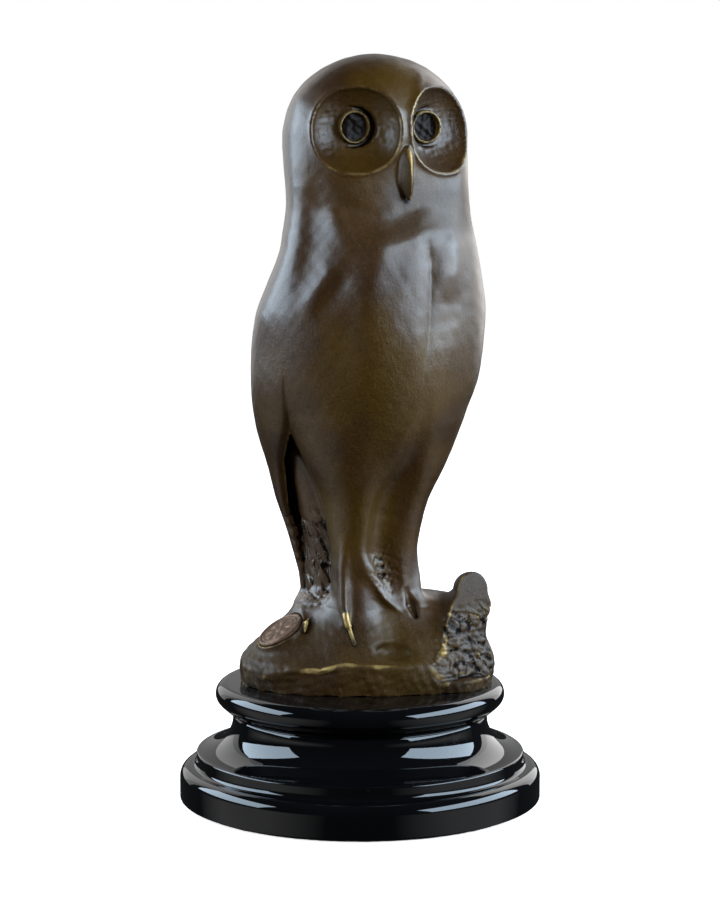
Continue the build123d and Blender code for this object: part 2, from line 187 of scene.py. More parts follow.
class Profile:
    """Smooth columns through a table of stations, looked up by their first column."""

    def __init__(self, stations, step=0.25, soften=None):
        table = np.array(sorted(stations), dtype=float)
        z, values = table[:, 0], table[:, 1:]
        secant = np.diff(values, axis=0) / np.diff(z)[:, None]
        slope = np.zeros_like(values)
        inner = 0.5 * (secant[:-1] + secant[1:])
        limit = 3 * np.minimum(abs(secant[:-1]), abs(secant[1:]))
        same_way = secant[:-1] * secant[1:] > 0
        slope[1:-1] = np.where(same_way, np.sign(inner) * np.minimum(abs(inner), limit), 0)
        slope[0], slope[-1] = secant[0], secant[-1]
        self.low, self.step = z[0], step
        fine = np.arange(z[0], z[-1] + step, step)
        i = np.clip(np.searchsorted(z, fine, side="right") - 1, 0, len(z) - 2)
        h = np.diff(z)[i][:, None]
        t = np.clip((fine - z[i])[:, None] / h, 0, 1)
        curve = values[i] * (1 + 2 * t) * (1 - t) ** 2 + values[i + 1] * t * t * (3 - 2 * t)
        curve += slope[i] * h * t * (1 - t) ** 2 - slope[i + 1] * h * t * t * (1 - t)
        if soften:
            curve = self.softened(curve, fine, *soften)
        self.curve = curve.astype(np.float32)

    def softened(self, curve, z, low, high, spread=3.8, reach=40, fade=4):
        """The curve with its ripples smoothed out between two heights."""
        kernel = np.exp(-0.5 * (np.arange(-reach, reach + 1) * self.step / spread) ** 2)
        kernel = kernel / kernel.sum()
        padded = np.pad(curve, ((reach, reach), (0, 0)), "edge")
        smooth = np.stack([np.convolve(each, kernel, "valid") for each in padded.T], axis=1)
        share = ease(low - fade, low + fade, z) * ease(high + fade, high - fade, z)
        return curve + (smooth - curve) * share[:, None]

    def __call__(self, z):
        place = np.clip((z - self.low) / self.step, 0, len(self.curve) - 1.001)
        i = place.astype(np.int32)
        t = (place - i)[:, None].astype(np.float32)
        return (self.curve[i] * (1 - t) + self.curve[i + 1] * t).T


def column(x, y, z, profile, top=None, bottom=None, centre_x=AXIS_X):
    """Distance to a body whose level sections have half-elliptical fronts and backs."""
    width, front, back, centre_y = profile(z)[:4]
    side = y - centre_y
    depth = np.where(side < 0, front, back)
    u, v = (x - centre_x) / width, side / depth
    square, fall = u * u + v * v, (u / width) ** 2 + (v / depth) ** 2
    for end, way in ((top, 1), (bottom, -1)):
        if end:
            beyond = np.maximum(way * (z - end[0]), 0) / end[1]
            square = square + beyond**2
            fall = fall + (beyond / end[1]) ** 2
    reach = np.sqrt(square)
    return reach * (reach - 1) / np.maximum(np.sqrt(fall), 1e-6)


def tube(x, y, z, points, radii):
    """Distance to a chain of tapered rods."""
    nearest = None
    for (a, b), (ra, rb) in zip(zip(points, points[1:]), zip(radii, radii[1:])):
        a, b = np.array(a, float), np.array(b, float)
        along = b - a
        t = ((x - a[0]) * along[0] + (y - a[1]) * along[1] + (z - a[2]) * along[2]) / (along @ along)
        t = np.clip(t, 0, 1)
        away = [place - a[i] - t * along[i] for i, place in enumerate((x, y, z))]
        gap = np.sqrt(away[0] ** 2 + away[1] ** 2 + away[2] ** 2) - (ra + (rb - ra) * t)
        nearest = gap if nearest is None else np.minimum(nearest, gap)
    return nearest


def waves(x, y, z, size, seed, count=5):
    """Smooth noise from -1 to 1 whose bumps are about one size across."""
    rng = np.random.default_rng(seed)
    total = 0
    for _ in range(count):
        direction = rng.normal(size=3)
        direction *= 2 * math.pi / (size * rng.uniform(1.3, 2.6) * np.linalg.norm(direction))
        phase = rng.uniform(0, 2 * math.pi)
        total = total + np.sin(x * direction[0] + y * direction[1] + z * direction[2] + phase)
    return total / count * 1.6


PROFILES = {
    "cloak": Profile(CLOAK, soften=SOFT_HEIGHTS),
    "torso": Profile(TORSO, soften=SOFT_HEIGHTS),
    "undertail": Profile(UNDERTAIL),
    "leg": Profile(LEG),
    "beak": Profile(BEAK, 0.1),
    "rock": Profile(ROCK),
    "lobe": Profile(LOBE),
    "wing_edge": Profile(WING_EDGE),
    "blend": Profile(BODY_BLEND),
}


def rock_frame(x, y):
    """Position along and across the rock."""
    c, s = math.cos(ROCK_TURN), math.sin(ROCK_TURN)
    return c * x - s * y, s * x + c * y


def disc_frame(x, y, z):
    """Across, up and out of the nearer facial disc, in millimetres from its centre."""
    side = np.where(x < AXIS_X, -1.0, 1.0)
    across = abs(x - AXIS_X) - DISC_X
    c, s = math.cos(DISC_SPLAY), math.sin(DISC_SPLAY)
    u = across * c + (y - DISC_Y) * s
    w = across * s - (y - DISC_Y) * c
    return side, u, z - DISC_Z, w


def disc_ring(u, v):
    """1 on a facial disc's rim and less inside it."""
    return (abs(u / DISC_HALF_WIDTH) ** 2.2 + abs(v / DISC_HALF_HEIGHT) ** 2.2) ** (1 / 2.2)


def in_disc(y, z, w):
    """Whether a place is on the face and near enough to its disc to belong to it."""
    return (y < -10) & (z > FACE_FROM) & (w > -12)


def hollowed(x, y, z):
    """The place on the plain body that the facial discs sink to this place."""
    side, u, v, w = disc_frame(x, y, z)
    hollow = DISC_DEPTH * np.clip(1 - disc_ring(u, v) ** 2.8, 0, 1)
    hollow = np.where((w > -14) & (y < -8), hollow, 0)
    return x + side * math.sin(DISC_SPLAY) * hollow, y - math.cos(DISC_SPLAY) * hollow


def wings(x, y, z):
    """Back, folded wings and tail: a thick shell that is open in front below the belly."""
    cloak = column(x, y, z, PROFILES["cloak"], top=CROWN, bottom=(66.0, 6.0))
    if not np.any(z < 164):
        return cloak
    edge = PROFILES["wing_edge"](z)[0]
    inside = np.maximum(cloak + WING_THICKNESS, np.maximum(z - 148, 74 - z))
    return smooth_cut(smooth_cut(cloak, y - edge, 1.6), inside, 1.0)


def eye_frame(x, z):
    """Distance from the axis of the nearer eye."""
    return np.hypot(abs(x - AXIS_X) - EYE_X, z - EYE_Z)


def eyes(x, y, z, body):
    """Sinks a round seat in each disc, raises a thin ring from it and hollows the pupil."""
    ring, height = eye_frame(x, z), EYE_Y - y
    half = 0.5 * (EYE_OUTER - EYE_INNER)
    seat = np.maximum(ring - EYE_OUTER - 1.3, abs(height - 4.0) - 5.3)
    body = smooth_cut(body, seat, 1.0)
    wall = np.maximum(abs(ring - EYE_MIDDLE) - half, abs(height + 2.5) - 2.5)
    body = smooth_union(body, wall, 0.5)
    pupil = np.maximum(ring - EYE_INNER, abs(height - 3.0) - 4.6)
    return smooth_cut(body, pupil, 0.4)


def beak(x, y, z, body):
    """Narrow hooked beak with a sharp ridge."""
    width, front, back, centre_y = PROFILES["beak"](z)
    side = y - centre_y
    depth = np.where(side < 0, front, back)
    slant = (abs(x - AXIS_X) / width) ** 1.25 + (abs(side) / depth) ** 1.25
    hook = (slant ** (1 / 1.25) - 1) * np.minimum(width, depth)
    hook = np.maximum(hook, np.maximum(211.2 - z, z - 229.0))
    return smooth_union(body, hook, 0.8)


def legs(x, y, z):
    """Breast, belly, trousers, legs and the coverts behind them."""
    shifted = hollowed(x, y, z)
    body = column(*shifted, z, PROFILES["torso"], top=CROWN, bottom=(99.0, 6.0))
    low = z < LEGS_UP_TO
    if not low.any():
        return body
    x, y, z, lower = x[low], y[low], z[low], body[low]
    offset = PROFILES["leg"](z)[4]
    for side in (-1, 1):
        leg = column(x, y, z, PROFILES["leg"], top=(134.0, 14.0), centre_x=AXIS_X + side * offset)
        lower = smooth_union(lower, leg, 6.0)
    web = column(x, y - 4.5, z, PROFILES["leg"], top=(112.0, 14.0))
    lower = smooth_union(lower, web, 3.0)
    lower = smooth_cut(lower, tube(x, y, z, *LEG_GAP), 5.0)
    undertail = column(x, y, z, PROFILES["undertail"], top=(122.0, 12.0))
    body[low] = smooth_union(lower, undertail, 2.5)
    return body


def rock(x, y, z):
    """Rock with its raised slab, whose front is a broken face."""
    a, b = rock_frame(x, y)
    left, right, front, back = PROFILES["rock"](z)
    reach_a = np.where(a < 0, -left, right)
    reach_b = np.where(b < 0, -front, back)
    u, v = abs(a) / reach_a, abs(b) / reach_b
    beyond = np.maximum(z - ROCK_TOP[0], 0) / ROCK_TOP[1]
    ring = (u**2.3 + v**2.3 + beyond**2.3) ** (1 / 2.3)
    mound = (ring - 1) * np.minimum(np.minimum(reach_a, reach_b), 24.0)
    width, front, back, centre_b, centre_a = PROFILES["lobe"](z)
    side = b - centre_b
    depth = np.where(side < 0, front, back)
    u, v = (a - centre_a) / width, side / depth
    beyond = np.maximum(z - LOBE_TOP[0], 0) / LOBE_TOP[1]
    ring = np.sqrt(u * u + v * v + beyond**2)
    slab = (ring - 1) * np.minimum(width, depth)
    return smooth_union(mound, slab, 7.0)


def break_face(x, y, z):
    """Distance in front of the slab's broken face, positive outside the stone that is left."""
    a, b = rock_frame(x, y)
    a, b, c = a - BREAK_POINT[0], b - BREAK_POINT[1], z - BREAK_POINT[2]
    out = a * BREAK_NORMAL[0] + b * BREAK_NORMAL[1] + c * BREAK_NORMAL[2]
    along = -a * BREAK_NORMAL[1] + b * BREAK_NORMAL[0]
    return out, along


# hollow that runs down the belly between the legs: points and radii
LEG_GAP = (
    [(8.8, -41.2, 146), (7.6, -37.4, 134), (6.0, -31.4, 122)]
    + [(3.6, -25.0, 112), (1.0, -19.6, 102), (-1.6, -16.8, 90)],
    [0.5, 2.2, 3.5, 4.1, 3.6, 1.8],
)
# folds of bronze that run from the legs over the rock: points, radii and blend
FOOT_RIDGES = [
    (
        [(-10.4, -12.0, 98), (-12.2, -12.6, 84), (-13.2, -14.8, 72), (-13.4, -17.0, 67)],
        [0.6, 1.8, 1.7, 1.0], 3.0,
    ),
    (
        [(-12.6, -13.9, 84), (-13.3, -16.2, 72), (-13.2, -17.4, 68)],
        [0.1, 0.4, 0.5], 0.8,
    ),
    (
        [(-8.0, -14.0, 94), (-5.6, -14.8, 85), (0.4, -14.6, 76), (6.4, -15.4, 69.6)],
        [0.4, 1.9, 2.2, 1.5], 3.0,
    ),
    (
        [(-4.6, -16.2, 82), (1.4, -17.2, 73.6), (7.0, -18.4, 68.6), (12.6, -20.4, 64.6)],
        [0.2, 0.5, 0.5, 0.2], 1.2,
    ),
    (
        [(14.0, -11.0, 92), (15.2, -12.6, 80), (14.8, -15.4, 70), (13.4, -18.6, 64.6)],
        [0.4, 1.7, 1.6, 0.5], 2.6,
    ),
]
CLAWS = [  # points and radii
    ([(-13.5, -17.4, 69.0), (-13.1, -18.6, 65.6)], [0.8, 0.9]),
    ([(-12.9, -18.9, 65.0), (-12.0, -21.4, 59.5)], [0.45, 0.1]),
    ([(-20.2, -3.0, 67.0), (-22.4, -4.6, 65.2), (-24.0, -6.6, 62.4)], [0.2, 0.7, 0.1]),
]
BUMPS = [  # knocked-off lumps and hollows of the rock's top: place, size and height
    (-20.0, -14.0, 60.0, 6.0, 0.9),
    (-9.0, -22.0, 58.5, 5.0, 0.8),
    (4.0, -21.0, 60.5, 4.5, -0.9),
    (14.0, -24.0, 59.0, 4.0, 0.8),
    (-25.0, -20.0, 53.0, 4.5, -0.8),
]
DENT = (1.0, -26.4, 56.2)  # shallow oval hollow behind the rock's crest
DENT_LENGTH, DENT_WIDTH = 7.6, 3.6
TOE_HOLLOWS = [  # cut between the toes: points, radii and blend
    ([(10.2, -16.6, 76), (11.2, -18.0, 71), (11.6, -19.8, 67)], [0.2, 1.8, 0.8], 1.6),
    ([(3.0, -18.6, 93), (3.6, -17.6, 86), (6.2, -17.4, 79)], [0.8, 2.2, 1.2], 3.0),
]


def feet(x, y, z, body):
    """Adds toes, claws and the rock's crest, then the hollows and lumps round them."""
    for points, radii, blend in FOOT_RIDGES:
        body = smooth_union(body, tube(x, y, z, points, radii), blend)
    for points, radii in CLAWS:
        body = smooth_union(body, tube(x, y, z, points, radii), 0.6)
    body = smooth_union(body, tube(x, y, z, CREST, CREST_RADII), 2.0)
    for points, radii, blend in TOE_HOLLOWS:
        body = smooth_cut(body, tube(x, y, z, points, radii), blend)
    a, b = rock_frame(x - DENT[0], y - DENT[1])
    rise = (z - DENT[2] - 1.0) / DENT_WIDTH
    dent = np.sqrt((a / DENT_LENGTH) ** 2 + (b / DENT_WIDTH) ** 2 + rise**2) - 1
    body = smooth_cut(body, dent * DENT_WIDTH, 1.2)
    for cx, cy, cz, size, height in BUMPS:
        body = body - height * np.exp(-((x - cx) ** 2 + (y - cy) ** 2 + (z - cz) ** 2) / size**2)
    return body


def seal_seat(x, y, z, body):
    """Raises a boss for the foundry seal and sinks its seat."""
    centre, normal = seal_place()
    height = (x - centre[0]) * normal[0] + (y - centre[1]) * normal[1] + (z - centre[2]) * normal[2]
    square = (x - centre[0]) ** 2 + (y - centre[1]) ** 2 + (z - centre[2]) ** 2
    ring = np.sqrt(np.maximum(square - height**2, 0))
    boss = np.maximum(ring - SEAL_RADIUS - 0.5, abs(height + 4.0) - 4.2)
    body = smooth_union(body, boss, 3.0)
    seat = np.maximum(ring - SEAL_RADIUS - 0.35, -height)
    return smooth_cut(body, seat, 0.3)


def seal_place():
    """Centre of the seal's seat and the direction it faces."""
    c, s = math.cos(ROCK_TURN), math.sin(ROCK_TURN)
    turned = [np.array([c * p + s * q, -s * p + c * q, r]) for p, q, r in (SEAL_CENTRE, SEAL_NORMAL)]
    return turned[0], turned[1] / np.linalg.norm(turned[1])


def owl(points):
    """Signed distance to the whole casting without its fine texture."""
    x, y, z = points.T
    body = smooth_union(wings(*hollowed(x, y, z), z), legs(x, y, z), PROFILES["blend"](z)[0])
    chest = z > FOLDS_FROM
    if chest.any():
        body[chest] -= folds(x[chest], y[chest], z[chest])
    high = z > FACE_FROM
    if high.any():
        part = x[high], y[high], z[high]
        face = beak(*part, body[high])
        body[high] = eyes(*part, face)
    low = z < ROCK_UP_TO
    if low.any():
        part = x[low], y[low], z[low]
        stone = rock(*part)
        merged = smooth_union(body[low], stone, 9.0)
        merged = feet(*part, merged)
        out, _ = break_face(*part)
        cut = np.maximum(-out, abs(part[2] - 65.0) - 19.0)
        merged = smooth_cut(merged, cut, 1.0)
        merged = seal_seat(*part, merged)
        body[low] = np.maximum(merged, ROCK_BASE_Z - part[2])
    return body


# Hollows and swellings of the head and breast as seen from ahead of the rock's long side:
# points of distance to the right and height, softness to the left and right of the line, and height.
FOLDS = [
    ([(-22.4, 246), (-25.4, 236), (-25.6, 222), (-25.0, 208), (-26.6, 197)], 1.8, 3.0, -0.8),
    ([(-26.4, 200), (-29.6, 190), (-33.6, 181), (-37.0, 172)], 1.6, 4.0, -1.0),
    ([(-16.5, 216), (-15.4, 204), (-15.8, 196), (-18.4, 187), (-23.6, 172)], 5.0, 6.5, -2.3),
    ([(-9.5, 210), (-8.0, 205), (-5.0, 199), (-1.0, 191)], 4.0, 4.0, 0.9),
    ([(-8.4, 190), (-13.4, 183), (-20.0, 173)], 2.8, 3.2, 0.7),
    ([(-4.4, 188), (-9.0, 180), (-16.0, 169)], 3.0, 3.4, -0.8),
    ([(9.4, 201), (6.0, 191), (2.4, 180), (0.0, 164)], 6.0, 5.0, 1.0),
    ([(31.4, 200), (31.6, 190), (30.0, 176)], 4.5, 4.0, 1.2),
    ([(5.0, 206), (15.0, 208)], 2.4, 2.4, 0.3),
    ([(18.0, 205), (27.0, 208)], 2.4, 2.4, 0.3),
    ([(-18.0, 218), (-12.0, 211), (-4.0, 208), (4.0, 210)], 3.4, 3.4, -0.8),
]


def fold(a, z, points, left, right):
    """1 on a line and falling off at its own rate on either side of it and towards its ends."""
    nearest, rate, place = np.full_like(a, 1e6), np.full_like(a, left), np.zeros_like(a)
    pieces = len(points) - 1
    for i, ((a0, z0), (a1, z1)) in enumerate(zip(points, points[1:])):
        da, dz = a1 - a0, z1 - z0
        t = np.clip(((a - a0) * da + (z - z0) * dz) / (da * da + dz * dz), 0, 1)
        gap = np.hypot(a - a0 - t * da, z - z0 - t * dz)
        beside = ((z - z0) * da - (a - a0) * dz) / math.hypot(da, dz)
        width = left + (right - left) * ease(-0.6, 0.6, beside)
        closer = gap < nearest
        nearest, rate = np.where(closer, gap, nearest), np.where(closer, width, rate)
        place = np.where(closer, (i + t) / pieces, place)
    fade = ease(-0.08, 0.25, place) * ease(1.05, 0.6, place)
    return hill(nearest, rate) * fade


def breast_crease(a, z):
    """Fold down the breast: it falls ever faster from the left and rises evenly on the right."""
    beside = a - 23.7 + 0.0022 * (z - 183) ** 2
    fall = np.clip(1 + beside / 5.0, 0, 1) ** 2
    rise = np.clip(1 - beside / 8.5, 0, 1) ** 1.3
    return np.minimum(fall, rise) * ease(202, 190, z) * ease(146, 170, z)


def folds(x, y, z):
    """Modelled hollows and swellings of the upper body's front."""
    a, b = rock_frame(x, y)
    level = 0
    for points, left, right, height in FOLDS:
        level = level + height * fold(a, z, points, left, right)
    shelf = ease(208, 197, z + 1.5 * np.sin(a / 5))
    level = level + 2.8 * np.exp(-(((a - 15) / 17) ** 4)) * shelf * ease(124, 168, z)
    level = level - 2.2 * breast_crease(a, z)
    brow = hill(abs(x - AXIS_X) - 0.55 * (z - 236), 2.2)
    brow = brow * ease(238, 243, z) * ease(256, 249, z)
    return level * ease(4, -8, b) + 0.5 * brow * (y < -14)


def plumage(x, y, z):
    """Grooves of the folded wings on the back, where they meet and between their long feathers."""
    side = abs(x - AXIS_X)
    seam = hill(side, 0.9) * ease(206, 186, z)
    lines = 0
    for low, spread in ((4.0, 0.085), (8.0, 0.13), (11.5, 0.19)):
        place = low + spread * np.maximum(z - 70, 0)
        lines = lines + hill(side - place, 0.7) * ease(158 - low * 2, 138 - low * 2, z)
    collar = hill(z - 204 + 0.35 * side, 1.2) * ease(30, 22, side)
    return -(0.8 * seam + 0.5 * lines + 0.3 * collar) * ease(6, 14, y) * ease(68, 74, z)


def torn_face(x, y, z):
    """How strongly a place belongs to the torn grain of the broken face, and the grain's height."""
    out, along = break_face(x, y, z)
    _, b = rock_frame(x, y)
    torn = hill(out, 1.6) * ease(45, 48, z) * ease(73, 65, z) * ease(-30, -18, b)
    grain = along * 0.82 - (z - 60) * 0.57 + waves(x, y, z, 8.0, 19)
    across = along * 0.57 + (z - 60) * 0.82 + 1.5 * waves(x, y, z, 8.0, 18)
    crack = waves(across * 1.2, grain * 0.35, out * 0.3, 3.6, 5, 5)
    fine = waves(across * 2.2, grain * 0.7, out, 2.6, 6, 6)
    level = 0.5 * fine - hill(crack, 0.22) - 0.5 * hill(fine, 0.2)
    return torn, level + 0.35 * waves(x, y, z, 1.4, 20, 7)


def scratched(x, y, z):
    """1 in the scratched hollows between the legs and the tail."""
    zone = ease(106, 96, z) * ease(66, 76, z) * ease(-6, 0, y) * ease(20, 12, y)
    return zone * ease(8, 11, abs(x - AXIS_X))


def texture(points):
    """How far the fine modelling stands out of the plain shape, in millimetres."""
    x, y, z = points.T
    soft = 0.16 * waves(x, y, z, 9.0, 1) + 0.035 * waves(x, y, z, 2.6, 2)
    rough = 0.36 * waves(x, y, z, 5.0, 3, 7) + 0.2 * waves(x, y, z, 1.8, 4, 7)
    on_rock = ease(72, 58, z)
    _, b = rock_frame(x, y)
    torn, stripes = torn_face(x, y, z)
    band = ease(51.5, 49.0, z) * ease(6, -6, b)
    level = soft + rough * on_rock * (0.6 + 0.4 * band) + 0.8 * stripes * torn
    pits = np.exp(-(((x - 2.5) / 4.5) ** 2 + ((z - 83) / 6.5) ** 2)) * (y < -6)
    scratches = waves(x * 3.0, y * 3.0, z * 0.9, 3.0, 8, 7)
    level = level - 1.3 * np.maximum(scratches, 0) * scratched(x, y, z)
    level = level - 0.7 * np.maximum(waves(x * 2.5, y, z * 2, 2.4, 9, 7), 0) * pits
    _, u, v, w = disc_frame(x, y, z)
    ring = disc_ring(u, v)
    bowl = ease(1.0, 0.8, ring) * in_disc(y, z, w)
    spokes = waves(np.arctan2(v, u) * 16, ring * 3.0, 0 * z, 2.0, 13, 7)
    rim = hill((ring - 1.01) * 15, 0.8) * in_disc(y, z, w)
    pupil = ease(EYE_INNER, EYE_INNER - 0.6, eye_frame(x, z)) * (y < -10)
    level = level + bowl * (0.05 * spokes + 0.10 * waves(x, y, z, 1.2, 14, 7)) + 0.55 * rim
    level = level + 0.25 * pupil * waves(x, y, z, 1.4, 15, 7)
    back = y > 4
    if back.any():
        level[back] += plumage(x[back], y[back], z[back])
    return level


def bead(distance, width):
    """1 inside a shape and falling off outside it."""
    return hill(np.maximum(distance, 0), width)


def gilding(points):
    """Where handling has worn the patina off: rims, ridges, claws and the rock's crests."""
    x, y, z = points.T
    patchy = 0.5 + 0.5 * waves(x, y, z, 5.0, 11)
    _, u, v, w = disc_frame(x, y, z)
    face = (y < -14) & (z > FACE_FROM) & (w > -8)
    rim = abs(disc_ring(u, v) - 1.0) * 15
    rubbed = np.maximum(ease(2, 12, -u), ease(5, 13, -v))
    total = (bead(rim, 0.5) * (0.12 + 0.5 * patchy * rubbed) + 0.14 * bead(rim, 1.6)) * face
    eye = bead(abs(eye_frame(x, z) - EYE_MIDDLE), 0.4) * ease(EYE_Y + 0.7, EYE_Y + 0.1, y)
    total = np.maximum(total, 0.15 * eye * (z > FACE_FROM) * (y > EYE_Y - 0.6))
    blade = 0.8 * bead(abs(x - AXIS_X - 0.3), 0.4 + 0.7 * ease(219, 226, z))
    blade = blade * ease(-33.2, -34.2, y) * ease(213, 223, z) * (z < 228.5)
    total = np.maximum(total, blade)
    for points_on, radii in CLAWS:
        total = np.maximum(total, bead(tube(x, y, z, points_on, radii), 0.4))
    for points_on, radii, _ in FOOT_RIDGES:
        if radii[1] < 1:  # only the thin ridges stand proud enough to be rubbed
            total = np.maximum(total, 0.4 * patchy * bead(tube(x, y, z, points_on, radii) - 0.1, 0.3))
    out, _ = break_face(x, y, z)
    a, _ = rock_frame(x, y)
    edge = bead(np.maximum(abs(rock(x, y, z)), abs(out)), 0.8)
    edge = edge * ease(45, 48, z) * ease(39, 35, a)
    total = np.maximum(total, edge * (0.3 + 0.6 * patchy))
    crest = bead(tube(x, y, z, CREST, CREST_RADII), 0.5) * (out < -0.5)
    return np.maximum(total, crest * (0.3 + 0.6 * patchy))


# Golden tone on front-facing places: partly thin patina, partly painted front light.
FRONT_LIT_GOLD_PATCHES = [  # place and size
    (0, -26, 250, 13),
    (-11, -28, 228, 15),
    (-4, -36, 150, 30),
    (-6, -16, 100, 18),
    (2, -30, 52, 20),
]


def front_light_and_tone(points):
    """Golden brown on the front, partly thin patina and partly painted front light: brow, belly, legs and
    the front of the rock.
    """
    x, y, z = points.T
    total = 0
    for cx, cy, cz, size in FRONT_LIT_GOLD_PATCHES:
        total = total + np.exp(-((x - cx) ** 2 + (y - cy) ** 2 + (z - cz) ** 2) / size**2)
    return np.clip(total + 0.25 * waves(x, y, z, 9.0, 16), 0, 1)


def dulling(points):
    """Where the surface is dry instead of waxed: rock, discs, throat and beak, and less so where torn."""
    x, y, z = points.T
    _, u, v, w = disc_frame(x, y, z)
    bowl = ease(1.0, 0.9, disc_ring(u, v)) * in_disc(y, z, w)
    a, b = rock_frame(x, y)
    lobe_top = ease(26, 29, a) * ease(90, 84, z)
    stone = np.maximum(ease(74, 60, z + 3 * waves(x, y, z, 7.0, 17)), lobe_top)
    throat = ease(196, 203, z) * ease(222, 212, z) * ease(4, 14, a) * (b < 5)
    torn, _ = torn_face(x, y, z)
    bill = (abs(x - AXIS_X) < 4) * ease(-32.5, -33.5, y) * ease(230, 227, z) * (z > 210)
    return np.clip(0.85 * stone * (1 - 0.3 * torn) + 0.3 * bowl + 0.5 * throat + 0.6 * bill, 0, 1)


def sculpture(points):
    """Signed distance to the casting with its fine texture near the surface."""
    plain = owl(points)
    near = abs(plain) < 4
    plain[near] -= texture(points[near])
    return plain


def in_threads(function, points, chunk=40000):
    """The function over many points, in chunks on every core."""
    points = np.ascontiguousarray(points, dtype=np.float32)
    pieces = [points[i : i + chunk] for i in range(0, len(points), chunk)]
    with ThreadPoolExecutor(4) as pool:
        return np.concatenate(list(pool.map(function, pieces)))


# ---- From distances to a mesh ----
def sample_grid(field, low, high, cell, block=8):
    """Distances on a grid: exact in blocks near the surface and only signed elsewhere."""
    size = cell * block
    counts = np.ceil((np.array(high) - low) / size).astype(int)
    index = np.stack(np.meshgrid(*[np.arange(n) for n in counts], indexing="ij"), -1).reshape(-1, 3)
    centres = low + (index + 0.5) * size
    rough = in_threads(field, centres)
    near = np.abs(rough) < size * 1.45
    background = np.where(rough > 0, 2 * cell, -2 * cell).reshape(counts)
    grid = np.repeat(np.repeat(np.repeat(background, block, 0), block, 1), block, 2).astype(np.float32)
    offsets = np.stack(np.meshgrid(*[np.arange(block)] * 3, indexing="ij"), -1).reshape(-1, 3)
    cells = (index[near][:, None, :] * block + offsets[None]).reshape(-1, 3)
    exact = in_threads(field, low + cells * cell)
    grid[cells[:, 0], cells[:, 1], cells[:, 2]] = np.clip(exact, -2 * cell, 2 * cell)
    return grid


def slopes(field, points, step=0.06):
    """Distance and its gradient at each point."""
    stacked = np.concatenate([points] + [points + step * np.eye(3, dtype=np.float32)[i] for i in range(3)])
    values = in_threads(field, stacked).reshape(4, -1)
    return values[0], (values[1:] - values[0]).T / step


def sculpt():
    """Vertices in millimetres, quads and outward normals of the casting."""
    low, high = np.array([-48.0, -46.0, 38.0]), np.array([50.0, 44.0, 263.0])
    grid = openvdb.FloatGrid(2 * CELL)
    grid.copyFromArray(sample_grid(owl, low, high, CELL))
    grid.transform = openvdb.createLinearTransform(voxelSize=CELL)
    points, quads = grid.convertToQuads()
    points = (np.array(points) + low).astype(np.float32)
    quads = np.array(quads)[:, ::-1]
    for _ in range(3):
        value, gradient = slopes(sculpture, points)
        length = np.maximum((gradient**2).sum(1), 0.1)
        move = np.clip(value / length, -0.6 * CELL, 0.6 * CELL)
        points = points - (gradient * move[:, None]).astype(np.float32)
    _, gradient = slopes(sculpture, points)
    normals = gradient / np.maximum(np.linalg.norm(gradient, axis=1), 1e-6)[:, None]
    return points, quads, normals.astype(np.float32)


def shade(points, normals):
    """Worn edges, and painted shade in hollows, cracks and pupils, mostly from how the surface falls away
    round each point.
    """
    wear = np.zeros(len(points), np.float32)
    here = in_threads(owl, points)
    for depth, weight in ((0.4, 0.5), (1.0, 0.5)):
        inside = in_threads(owl, points - normals * depth)
        wear += weight * np.clip(1 + (inside - here) / depth, 0, 1)
    # Painted shade: how far the space round each point is closed in, an occlusion estimate that darkens
    # the colour
    painted_shade = np.zeros(len(points), np.float32)
    for reach, weight in ((1.0, 0.35), (3.0, 0.35), (8.0, 0.3)):
        outside = in_threads(owl, points + normals * reach)
        painted_shade += weight * np.clip(1 - (outside - here) / reach, 0, 1)
    relief = in_threads(texture, points)
    wear *= np.clip(1.1 + 2.5 * relief, 0, 1) * (1 - 0.9 * scratched(*points.T))
    x, y, z = points.T
    torn, _ = torn_face(x, y, z)
    # painted shade deepened in the grooves of the fine modelling, most of all in the broken face's cracks
    painted_shade += (0.45 + 0.7 * torn) * np.clip(-relief - 0.15, 0, 1)
    # painted shade in the pupils' hollows
    pupil = ease(EYE_INNER + 0.2, EYE_INNER - 0.4, eye_frame(x, z)) * (y < -10)
    painted_shade = np.maximum(painted_shade, 0.64 * pupil)
    return wear, painted_shade


def linked(name, data):
    """A new object in the scene for a mesh, a light or a camera."""
    obj = bpy.data.objects.new(name, data)
    bpy.context.collection.objects.link(obj)
    return obj


def mesh_object(name, vertices, faces, smooth=True):
    """Mesh object from vertices in metres."""
    mesh = bpy.data.meshes.new(name)
    mesh.from_pydata([tuple(v) for v in vertices], [], [tuple(f) for f in faces])
    mesh.update()
    for polygon in mesh.polygons:
        polygon.use_smooth = smooth
    return linked(name, mesh)


def big_mesh(name, vertices, quads):
    """Mesh object straight from arrays, for large sculpted meshes."""
    mesh = bpy.data.meshes.new(name)
    mesh.vertices.add(len(vertices))
    mesh.vertices.foreach_set("co", (vertices * MM).astype(np.float32).ravel())
    mesh.loops.add(quads.size)
    mesh.loops.foreach_set("vertex_index", quads.ravel().astype(np.int32))
    mesh.polygons.add(len(quads))
    mesh.polygons.foreach_set("loop_start", np.arange(0, quads.size, 4, dtype=np.int32))
    mesh.polygons.foreach_set("use_smooth", np.ones(len(quads), dtype=bool))
    mesh.update(calc_edges=True)
    mesh.validate()
    return linked(name, mesh)


def set_attribute(obj, name, values):
    """Gives every vertex a number that a material can read."""
    layer = obj.data.attributes.new(name, "FLOAT", "POINT")
    layer.data.foreach_set("value", values.astype(np.float32))


def weld(obj):
    """Joins vertices that fell on one another, so that no face is left without an area."""
    mesh = bmesh.new()
    mesh.from_mesh(obj.data)
    bmesh.ops.remove_doubles(mesh, verts=mesh.verts, dist=2e-7)
    mesh.to_mesh(obj.data)
    mesh.free()


